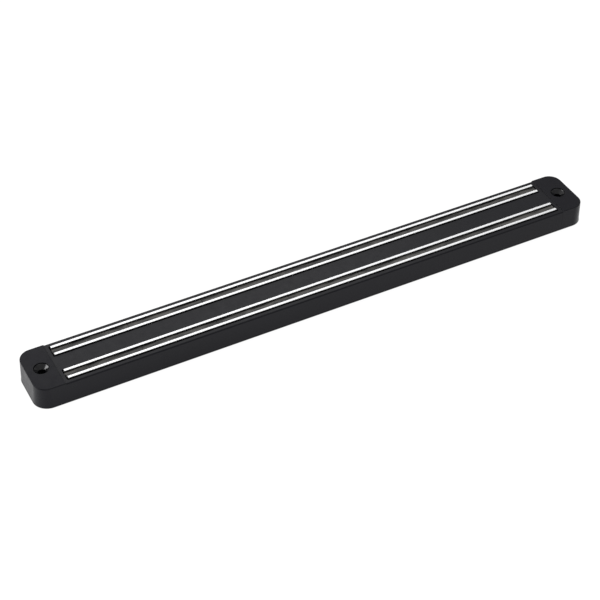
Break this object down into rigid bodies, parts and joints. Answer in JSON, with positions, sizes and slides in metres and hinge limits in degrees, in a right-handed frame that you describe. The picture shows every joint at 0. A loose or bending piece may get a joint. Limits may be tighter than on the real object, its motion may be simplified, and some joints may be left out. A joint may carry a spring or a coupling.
{
  "type": "magnetic knife rack",
  "caption": "Long black wall rack that holds knives by their blades on two magnetic rails, with a countersunk screw hole at each end.",
  "frame": {"origin": "centre of the back plane that lies on the wall", "axes": "+X along the rack, +Y up the wall, +Z away from the wall"},
  "size_m": [0.5, 0.049, 0.02],
  "materials": {
    "black_abs": "injection-moulded ABS with a fine satin grain",
    "cover_abs": "moulded ABS, flat and slightly duller than the housing",
    "pole_steel": "ground and polished along the edge, with fine lengthwise lines",
    "ferrite": "bare sintered ferrite, dark grey, ground flat",
    "screw_zinc": "bright zinc plating"
  },
  "bodies": {
    "root": {"housing": "black_abs", "back_cover": "cover_abs", "upper_outer_pole": "pole_steel", "upper_inner_pole": "pole_steel", "lower_inner_pole": "pole_steel", "lower_outer_pole": "pole_steel", "upper_magnet_1": "ferrite", "upper_magnet_2": "ferrite", "upper_magnet_3": "ferrite", "upper_magnet_4": "ferrite", "upper_magnet_5": "ferrite", "upper_magnet_6": "ferrite", "upper_magnet_7": "ferrite", "lower_magnet_1": "ferrite", "lower_magnet_2": "ferrite", "lower_magnet_3": "ferrite", "lower_magnet_4": "ferrite", "lower_magnet_5": "ferrite", "lower_magnet_6": "ferrite", "lower_magnet_7": "ferrite", "cover_screw_1": "screw_zinc", "cover_screw_2": "screw_zinc", "cover_screw_3": "screw_zinc", "cover_screw_4": "screw_zinc", "cover_screw_5": "screw_zinc"}
  },
  "joints": []
}
